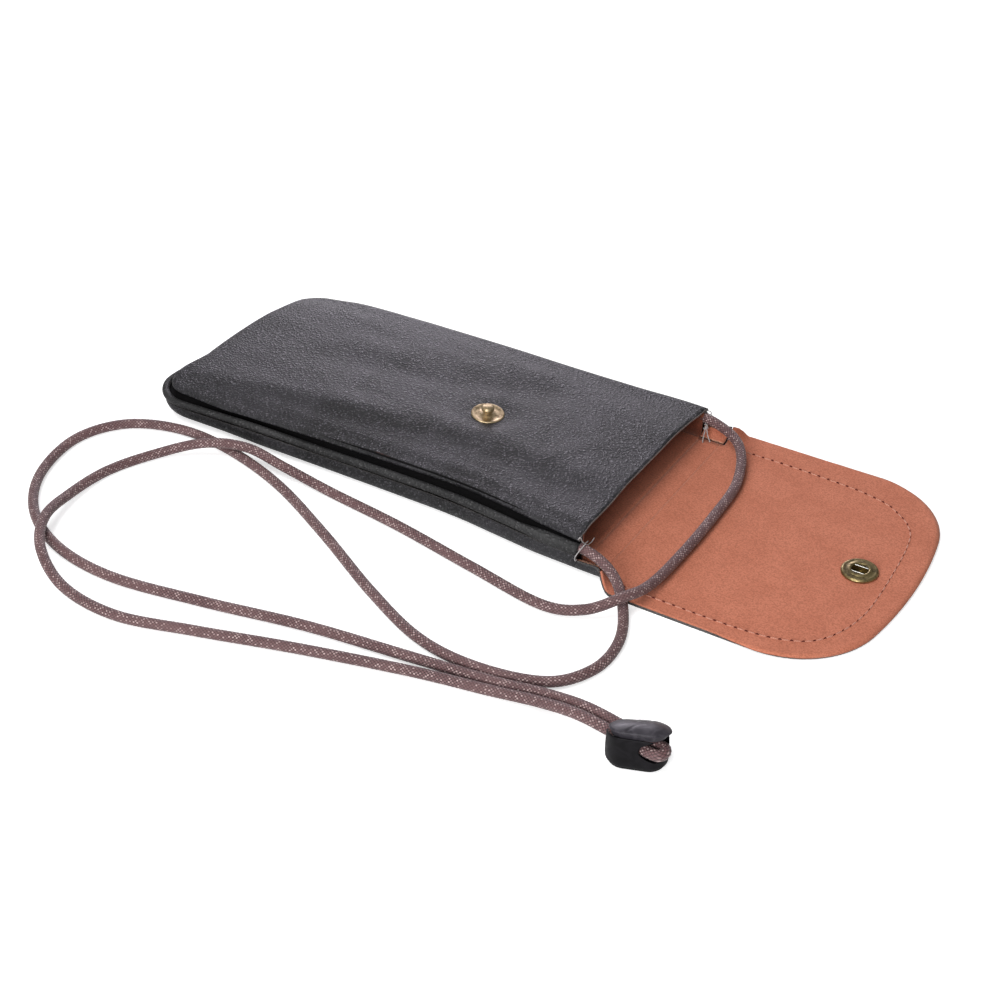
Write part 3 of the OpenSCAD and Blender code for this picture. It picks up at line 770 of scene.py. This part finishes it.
seam_line = [(x / 1000, y / 1000, floor_z + flap_lift(x / 1000, y / 1000) + flap_rise)
             for x, y in through(seam, 0.8)]
stitches = stitched("flap_stitching", seam_line, Pitch=stitch_pitch, Gap=stitch_gap,
                    Thread=thread_r)
stitches.data.shade_smooth()
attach(stitches, "flap")

# ---- Snap fastener ----
# A pressed brass snap with an antique finish. The stud and its eyelet grip the front panel; the
# socket, its wire spring and its cap grip the flap, the cap's barrel passing through both skins.
def turned_brass(name, tone, dark, rough):
    """Antique brass: tarnish in broad clouds and fine specks, burnished where it stands up."""
    made, tree, shader, place = finish(name, Metallic=1.0, Roughness=rough, Specular_IOR_Level=0.5)
    tarnish = clouds(tree, place, 620.0, 5.0, Roughness=0.65)
    specks = clouds(tree, place, 4200.0)
    worn = node(tree, "NewGeometry").outputs["Pointiness"]
    bare = mixed(tree, graded(tree, tarnish, 0.38, 0.66), tone, dark)
    dots = mixed(tree, graded(tree, specks, 0.58, 0.72, 0.0, 0.6), bare, dark)
    edge = mixed(tree, graded(tree, worn, 0.5, 0.56, 0.0, 0.45), dots, tinted(tone, 1.5))
    surface(tree, shader, edge, specks, 0.35, 0.00004,
            graded(tree, tarnish, 0.3, 0.7, rough - 0.08, rough + 0.16))
    return made


gold_brass = turned_brass("gold_brass", (0.60, 0.47, 0.29, 1), (0.24, 0.175, 0.10, 1),
                          rough=0.40)
olive_brass = turned_brass("olive_brass", (0.36, 0.285, 0.135, 1), (0.12, 0.09, 0.045, 1),
                           rough=0.38)


def turned(name, profile, x, y, material, sides=72):
    """A closed profile of (radius, height), turned about a standing axis."""
    points, faces, count = [], [], len(profile)
    for k in range(sides):
        a = 2 * pi * k / sides
        points += [(x + r * cos(a), y + r * sin(a), z) for r, z in profile]
    for k in range(sides):
        here, after = k * count, (k + 1) % sides * count
        faces += [(here + m, after + m, after + (m + 1) % count, here + (m + 1) % count)
                  for m in range(count)]
    made = outward(piece(name, points, faces, material), merged=True)
    made.data.set_sharp_from_angle(angle=radians(35))
    return made


def rounded(corners, radius, cuts=3):
    """A profile whose corners are rounded."""
    made = []
    for k, corner in enumerate(corners):
        here = Vector(corner)
        before, after = Vector(corners[k - 1]), Vector(corners[(k + 1) % len(corners)])
        if corner[0] <= 1e-9:
            made.append(corner)
            continue
        give = min(radius, (before - here).length * 0.45, (after - here).length * 0.45)
        start = here + (before - here).normalized() * give
        end = here + (after - here).normalized() * give
        for t in np.linspace(0, 1, cuts + 1):
            p = start * (1 - t) ** 2 + here * 2 * t * (1 - t) + end * t * t
            made.append((p.x, p.y))
    return made


stud = turned("stud", rounded([
    (0, 0.01205), (0.0030, 0.01205), (0.0050, 0.01236), (0.0050, 0.01258), (0.00475, 0.01274),
    (0.0041, 0.01268), (0.0036, 0.01256), (0.0028, 0.01256), (0.0022, 0.01270), (0.0013, 0.01295),
    (0.00125, 0.01322), (0.00165, 0.0135), (0.00195, 0.0139), (0.00200, 0.01425),
    (0.00184, 0.01462), (0.00145, 0.01487), (0.0008, 0.01503), (0.0, 0.01508)], 0.00012),
    stud_x, snap_y, gold_brass)
for vertex in stud.data.vertices:
    vertex.co.z += 0.00006 - stud_tilt * (vertex.co.x - stud_x)
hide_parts("snap_stud")
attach(stud, "pouch")
socket = turned("socket", rounded([
    (0.0023, 0.0016), (0.0047, 0.0014), (0.0052, 0.00165), (0.00525, 0.0021), (0.0050, 0.00245),
    (0.0046, 0.00262), (0.0042, 0.00258), (0.0036, 0.00262), (0.0032, 0.0028), (0.0029, 0.0029),
    (0.0026, 0.00286), (0.00238, 0.0027), (0.0023, 0.0024)], 0.00014),
    socket_x, snap_y, olive_brass)
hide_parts("snap_socket")
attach(socket, "flap")
steel = two_toned("spring_steel", (0.30, 0.29, 0.27, 1), (0.52, 0.51, 0.48, 1), 2400.0, 3.0,
                  Metallic=1.0, Roughness=0.3)
for name, material in (("snap_eyelet", gold_brass), ("snap_cap", olive_brass),
                       ("snap_socket_spring", steel), ("cord_lock_spring", steel)):
    kept = bpy.data.objects[name]
    for k in range(max(1, len(kept.material_slots))):
        if not kept.material_slots:
            kept.data.materials.append(material)
        kept.material_slots[k].material = material

# ---- Neck cord ----
# A round braided cord of waxed brown cotton, 3 mm thick and about a metre long, sewn into the
# welt at both corners of the mouth. It lies in loose loops beside the pouch and doubles back
# through the cord lock.
cord_r, braid_pitch, carriers, gap_depth, strand_h = 0.0015, 0.00105, 10, 0.00015, 0.00017
lock_at, lock_turn = (0.0810, -0.0958), radians(-8)
loop_at, loop_r, strand_half = 0.00610, 0.0017, 0.00165
near_route = [(22.5, -38.2, 7.2), (35, -38.2, 7.2), (45, -41.6, 4.9), (52.5, -50, 2), (57.5, -62),
    (57, -74.5), (49, -84.8), (31, -89.2), (12, -87.4), (-10, -77.8), (-36, -63.6), (-62, -51),
    (-86, -44.2), (-105, -43.4), (-121, -49.8), (-128.6, -64), (-125, -83), (-113.5, -98),
    (-96, -107.2), (-74, -109.8), (-46, -105.2), (-16, -98.8), (14, -94.8), (38, -91.6),
    (52, -90.1, 3)]
far_route = [(52, -93.5, 3), (38, -95.1), (18, -99.2), (-12, -107.2), (-40, -115.8), (-62, -121.8),
    (-82, -120, 1.7), (-96.5, -112.8, 4.2), (-105, -102, 5.1), (-109, -88, 2.9), (-109, -72),
    (-102.5, -58, 1.8), (-91, -48.6, 4.4), (-78, -44.6, 5.1), (-64, -44.6, 3), (-46, -46.2),
    (-20, -49.5), (8, -54.6), (32, -58.6), (44, -56, 3), (52, -49.2, 6), (54.6, -39, 4.2),
    (55.2, -22, 3.3), (55, -2, 3.3), (53.4, 18, 3.4), (46.5, 33.5, 4.9), (35, 38.2, 7.2),
    (22.5, 38.2, 7.2)]


def in_metres(places):
    """Places given in millimetres; where no height is given, the cord lies on the table."""
    return [tuple(c / 1000 for c in (place + (1.6,))[:3]) for place in places]


def lock_place(s, v, z):
    """A place in the lock: s along its strands from its middle, v to the side, z up."""
    return (lock_at[0] + s * cos(lock_turn) - v * sin(lock_turn),
            lock_at[1] + s * sin(lock_turn) + v * cos(lock_turn), z)


loop = [lock_place(s, strand_half, 0.006) for s in (-0.0156, 0.0, 0.00288)]
loop += [lock_place(loop_at + loop_r * cos(a), loop_r * sin(a), 0.0063)
         for a in map(radians, (80, 40, 0, -40, -80))]
loop += [lock_place(s, -strand_half, 0.006) for s in (0.00288, 0.0, -0.0156)]
route = in_metres(near_route) + loop + in_metres(far_route)
cord_line = through(route, 0.00032)


def braid_height(round_share, run):
    """How far a strand of the braid stands up: over and under in turn, 0 in the gaps."""
    first, second = carriers * round_share + run, carriers * round_share - run
    over = (floor(first) + floor(second)) % 2 == 0
    across = (first if over else second) % 1 - 0.5
    length = (second if over else first) % 1 - 0.5
    return max(0.0, 1 - (2 * across) ** 2) ** 0.5 * (1 - (1.7 * length) ** 2 * 0.35)


def tube(name, line, sides, radius, material, ends=0.0):
    """A closed tube along a line, with a UV map that gives (share of the way round, length).
    The radius is a function of (share round, length run)."""
    ahead = np.gradient(line, axis=0)
    ahead /= np.linalg.norm(ahead, axis=1)[:, None]
    run = np.concatenate([[0.0], np.cumsum(np.linalg.norm(np.diff(line, axis=0), axis=1))])
    up = np.cross(ahead[0], (0.0, 1.0, 0.2))
    points = []
    for k, (place, way) in enumerate(zip(line, ahead)):
        up = up - way * float(up @ way)
        up /= np.linalg.norm(up)
        side = np.cross(way, up)
        for j in range(sides):
            a = 2 * pi * j / sides
            out = up * cos(a) + side * sin(a)
            points.append(place + out * radius(j / sides, run[k]))
    faces = ring_faces(len(line), sides)
    body = len(faces)
    first, last = len(points), len(points) + 1
    points += [line[0] - ahead[0] * ends, line[-1] + ahead[-1] * ends]
    end = (len(line) - 1) * sides
    faces += [(first, (j + 1) % sides, j) for j in range(sides)]
    faces += [(last, end + j, end + (j + 1) % sides) for j in range(sides)]
    made = piece(name, points, faces, material)
    layer = made.data.uv_layers.new(name="lay")
    for f, polygon in enumerate(made.data.polygons[:body]):
        k, j = divmod(f, sides)
        corners = (j, k), (j + 1, k), (j + 1, k + 1), (j, k + 1)
        for item, (jj, kk) in zip(polygon.loop_indices, corners):
            layer.data[item].uv = (jj / sides, run[kk])
    return made


def waxed_braid():
    """Waxed cotton braid: strands over and under, gaps darkened with painted shade, pale flecks of
    fibre.
    """
    made, tree, shader, place = finish("waxed_braid", Roughness=0.5, Specular_IOR_Level=0.5,
                                       Sheen_Weight=0.15)
    plus, minus, times, whole, part = (partial(maths, tree, kind) for kind in (
        "ADD", "SUBTRACT", "MULTIPLY", "FLOOR", "FRACT"))
    lay = node(tree, "SeparateXYZ", Vector=put(tree, "UVMap", {"uv_map": "lay"}))
    around = times(lay.outputs[0], float(carriers))
    run = maths(tree, "DIVIDE", lay.outputs[1], braid_pitch)
    first, second = plus(around, run), minus(around, run)
    cells = plus(whole(first), whole(second))
    over = minus(1.0, maths(tree, "FLOORED_MODULO", cells, 2.0))
    parts = [minus(part(value), 0.5) for value in (first, second)]
    across, along = (plus(times(over, a), times(minus(1.0, over), b))
                     for a, b in (parts, parts[::-1]))
    crown = minus(1.0, times(times(across, across), 4.0))
    slope = minus(1.0, times(times(along, along), 2.4))
    height = times(crown, slope)
    yarns = maths(tree, "SINE", times(across, 26.0))
    cell = put(tree, "CombineXYZ", X=whole(first), Y=whole(second))
    luck = put(tree, "TexWhiteNoise", {"noise_dimensions": "2D"}, Vector=cell)
    fibre = clouds(tree, place, 2600.0, 3.0, Roughness=0.7)
    broad = graded(tree, clouds(tree, place, 60.0), 0.35, 0.7, 0.0, 0.35)
    # The strands darken into the gaps between them: painted shade.
    gap_shaded_strand = mixed(tree, graded(tree, height, 0.05, 0.8), (0.022, 0.008, 0.009, 1),
                   (0.150, 0.070, 0.073, 1))
    drift = mixed(tree, broad, gap_shaded_strand, (0.175, 0.090, 0.090, 1))
    raised = graded(tree, plus(height, times(fibre, 0.5)), 0.75, 1.15)
    share = times(graded(tree, luck, 0.50, 0.95), raised)
    relief = plus(height, plus(times(yarns, 0.1), times(fibre, 0.35)))
    surface(tree, shader, mixed(tree, share, drift, (0.50, 0.36, 0.35, 1)), relief, 0.8, 0.00014)
    return made


cord = tube("neck_cord_braid", cord_line, 28, lambda share, run: cord_r - gap_depth
            + strand_h * braid_height(share, run / braid_pitch), waxed_braid())
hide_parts("neck_cord")
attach(cord, "pouch")

# ---- Cord lock ----
# A moulded black nylon cord lock: an oval body with a window for the doubled cord, a domed cap on
# the sprung stem that is pressed to let the cord slide. The cord's loop stands out of its window.
lock_long, lock_wide, lock_skew, lock_slant, lip = 0.0156, 0.0098, radians(28), 0.34, 0.0006


def nylon(name, deep, light, rough, gloss):
    """Moulded nylon: faint flow marks, fine spark-eroded texture, scuffs."""
    made, tree, shader, place = finish(name, Specular_IOR_Level=gloss, Roughness=rough)
    flow = clouds(tree, place, 330.0, 4.0, Distortion=1.2)
    drawn = put(tree, "Mapping", Vector=place, Scale=(1.0, 5.0, 1.0))
    scuffs = clouds(tree, drawn, 900.0, 6.0, Roughness=0.75)
    tone = mixed(tree, graded(tree, flow, 0.35, 0.7), deep, light)
    worn = mixed(tree, graded(tree, scuffs, 0.62, 0.8, 0.0, 0.5), tone, tinted(light, 2.4))
    surface(tree, shader, worn, clouds(tree, place, 5200.0), 0.3, 0.00004,
            graded(tree, flow, 0.3, 0.7, rough - 0.07, rough + 0.1))
    return made


def lock_ring(inset, z, cap=False, arc=26, straight=16):
    """One ring of the lock's oval, askew to the strands. Above the window everything slants down
    to the far side; the cap's lip overhangs at the loop's end, and past a crease it falls away."""
    radius, half = lock_wide / 2 - inset, (lock_long - lock_wide) / 2
    plan = [(half + radius * cos(a), radius * sin(a))
            for a in np.linspace(-pi / 2, pi / 2, arc, endpoint=False)]
    plan += [(x, radius) for x in np.linspace(half, -half, straight, endpoint=False)]
    plan += [(-x, -y) for x, y in plan]
    ring, turn = [], lock_turn + lock_skew
    for l, d in plan:
        up = z - lock_slant * d * smooth((z - 0.0060) / 0.0030)
        if cap:
            share = max(0.0, 2 * l / lock_long) ** 3 * smooth((0.0030 - inset) / 0.0030)
            l += 0.0003 + lip * share
            past = (l + 0.0028) * 0.836 - (d + 0.0046) * 0.548
            top = smooth((z - 0.0098) / 0.0006)
            up += top * (0.09 * min(0.0, past) - 0.00016 * exp(-(past / 0.00022) ** 2))
        ring.append((lock_at[0] + l * cos(turn) - d * sin(turn),
                     lock_at[1] + l * sin(turn) + d * cos(turn), up))
    return ring


def windowed(made, low, high, corner):
    """Cuts the cord's window right through along the strands, then shades the piece smooth with its
    sharp edges kept sharp.
    """
    half, reach = 0.00385, 0.012
    outline = [(half - corner + corner * sin(a), low + corner - corner * cos(a))
               for a in np.linspace(0, pi / 2, 12)]
    outline += [(v, high + low - z) for v, z in reversed(outline)]
    outline += [(-v, z) for v, z in reversed(outline)]
    cut_out(made, shell("window", [[lock_place(s, v, z) for v, z in outline]
                                   for s in (-reach, reach)]))
    made.data.shade_smooth()
    made.data.set_sharp_from_angle(angle=radians(38))
    return made


lock_body = windowed(shell("lock_body", [lock_ring(inset, z) for inset, z in (
    (0.0011, 0.0), (0.0007, 0.00010), (0.00055, 0.0004), (0.00055, 0.0008), (0.0003, 0.00092),
    (0.00008, 0.0012), (0.0, 0.0018), (0.0, 0.0035), (0.00008, 0.0060), (0.00018, 0.0080),
    (0.00024, 0.0084), (0.00038, 0.0086), (0.00055, 0.0086), (0.00065, 0.0085), (0.00065, 0.0071),
    (0.0012, 0.0071), (0.0012, 0.0010))], nylon(
        "lock_body_nylon", (0.004, 0.0035, 0.0045, 1), (0.009, 0.008, 0.010, 1),
        rough=0.44, gloss=0.13)), low=0.0033, high=0.0102, corner=0.0033)
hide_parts("cord_lock_body")
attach(lock_body, "cord_lock")
dome = [(inset, 0.0106 + 0.0010 * (1 - ((0.0048 - inset) / 0.0042) ** 2))
        for inset in (0.0007, 0.0010, 0.0014, 0.0018, 0.0022, 0.0026,
                      0.0031, 0.0036, 0.0041, 0.0046)]
# The cap's nylon is several times lighter than the body's: a painted reflection of the bright room
# on the cap.
lock_cap = windowed(shell("lock_plunger", [lock_ring(inset, z, True) for inset, z in [
    (0.0018, 0.0034), (0.0015, 0.0036), (0.0015, 0.0083), (0.0010, 0.0084), (0.0010, 0.0098),
    (0.0007, 0.0099), (0.0005, 0.0100), (0.0004, 0.0102), (0.0005, 0.0105)] + dome], nylon(
        "lock_cap_nylon_painted_reflection", (0.030, 0.027, 0.034, 1), (0.055, 0.050, 0.060, 1),
        rough=0.38, gloss=0.34)), low=0.0044, high=0.0097, corner=0.0016)
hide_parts("cord_lock_plunger")
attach(lock_cap, "lock_plunger")

# ---- Corner threads ----
# At both corners of the mouth a few turns of off-white thread bind the cord into the welt's end.
# The near ones pass over the welt in an S; the far ones end in a small knot with two tails.
white_thread = thread_finish("corner_thread", (0.22, 0.20, 0.20, 1), (0.62, 0.60, 0.60, 1), 1500.0)
red_thread = thread_finish("knot_thread", (0.16, 0.035, 0.03, 1), (0.40, 0.11, 0.09, 1), 1500.0)
binding_r = 0.00015


def thread(name, points, material, radius=binding_r):
    """A short length of thread through points in millimetres."""
    line = through(in_metres(points), 0.00035)
    return tube(name, line, 8, lambda share, run: radius, material, ends=radius * 0.6)


near_threads = joined("near_corner_thread", *[thread("turn", p, white_thread) for p in (
    [(32.6, -39.6, 11.2), (33.1, -39.4, 12.0), (33.3, -38.3, 9.9), (33.3, -36.9, 8.5),
     (33.2, -35.0, 8.0)],
    [(33.2, -31.5, 6.9), (33.2, -32.9, 6.4), (33.3, -35.3, 7.0), (33.9, -37.7, 9.0),
     (33.9, -39.5, 9.0), (33.4, -41.2, 7.9), (33.0, -42.0, 6.8), (32.8, -41.4, 5.2),
     (32.8, -40.5, 4.9)])])
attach(near_threads, "pouch")
far_threads = joined("far_corner_thread", *[thread("turn", p, m) for p, m in (
    ([(32.6, 40.2, 8.9), (33.6, 40.0, 9.0), (34.4, 39.0, 8.9), (34.2, 37.9, 8.3),
      (33.6, 37.0, 6.4)], white_thread),
    ([(33.8, 39.4, 8.6), (34.2, 39.3, 7.0), (34.0, 38.4, 5.6), (33.6, 37.2, 5.2)], white_thread),
    ([(33.6, 37.2, 5.2), (34.4, 36.6, 4.4), (35.2, 35.8, 3.0), (36.4, 35.0, 1.75)], white_thread),
    ([(33.6, 37.0, 5.2), (34.0, 36.0, 4.2), (34.2, 34.8, 2.9), (34.6, 33.6, 1.75)], white_thread),
    ([(33.2, 37.6, 5.6), (33.9, 37.3, 5.9), (34.3, 36.7, 5.4), (33.9, 36.3, 4.8),
      (33.3, 36.6, 4.9)], red_thread),
    ([(33.3, 36.9, 6.0), (34.0, 37.5, 5.4), (34.3, 37.4, 4.7), (33.7, 37.0, 4.4)], red_thread))])
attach(far_threads, "pouch")

# ---- Table, light and camera ----
# A white table under a large soft light from behind, whose reflection lies on the leather, a soft
# fill from the front, and the camera at the photograph's place.
def area_light(name, place, size, power, tint=(1, 1, 1)):
    """A soft square light turned to the origin."""
    lamp = bpy.data.lights.new(name, "AREA")
    lamp.shape, lamp.size, lamp.energy, lamp.color = "SQUARE", size, power, tint
    made = shown(name, lamp)
    made.location = place
    made.rotation_euler = (-Vector(place)).to_track_quat("-Z", "Y").to_euler()


table_half, table_z = 4, -0.0001
table_white, table_tree, table_shader, table_place = finish(
    "table_white", Roughness=0.9, Specular_IOR_Level=0.1, Base_Color=(0.80, 0.80, 0.80, 1))
table_reach = node(table_tree, "VectorMath", {"operation": "LENGTH"},
                  i0=table_place).outputs["Value"]
table_sees = node(table_tree, "LightPath").outputs["Is Camera Ray"]
table_glow = put(table_tree, "Emission", Color=(1, 1, 1, 1), Strength=maths(
    table_tree, "MULTIPLY", table_sees, graded(table_tree, table_reach, 0.30, 1.1, 0.60, 0.88)))
table_sum = put(table_tree, "AddShader", i0=table_shader.outputs[0], i1=table_glow)
table_tree.links.new(table_sum, table_tree.nodes["Material Output"].inputs["Surface"])
table = piece("table", [(x * table_half, y * table_half, table_z)
                        for x, y in ((-1, -1), (1, -1), (1, 1), (-1, 1))],
              [(0, 1, 2, 3)], table_white)

room = bpy.data.worlds.new("studio")
room.use_nodes = True
bpy.context.scene.world = room
room_back = room.node_tree.nodes["Background"]
room_path = node(room.node_tree, "LightPath").outputs["Is Camera Ray"]
room.node_tree.links.new(graded(room.node_tree, room_path, 0.0, 1.0, 0.24, 1.0),
                         room_back.inputs["Strength"])
room_back.inputs["Color"].default_value = (1, 1, 1, 1)

area_light("back_light", (-0.56, 0.85, 0.30), size=0.50, power=3.9, tint=(0.95, 0.89, 1.0))
area_light("top_light", (-0.10, -0.30, 0.86), size=0.50, power=4.6)
area_light("front_light", (0.10, -0.80, 0.34), size=0.35, power=5.0)

eye = bpy.data.cameras.new("camera")
eye.lens, eye.sensor_width, eye.clip_start = 64.8, 36.0, 0.01
camera = shown("camera", eye)
camera.location = (0.2190, -0.3836, 0.3065)
camera.rotation_euler = (radians(90 - 35.82), 0, radians(31.57))
bpy.context.scene.camera = camera
bpy.context.scene.view_settings.view_transform = "Standard"
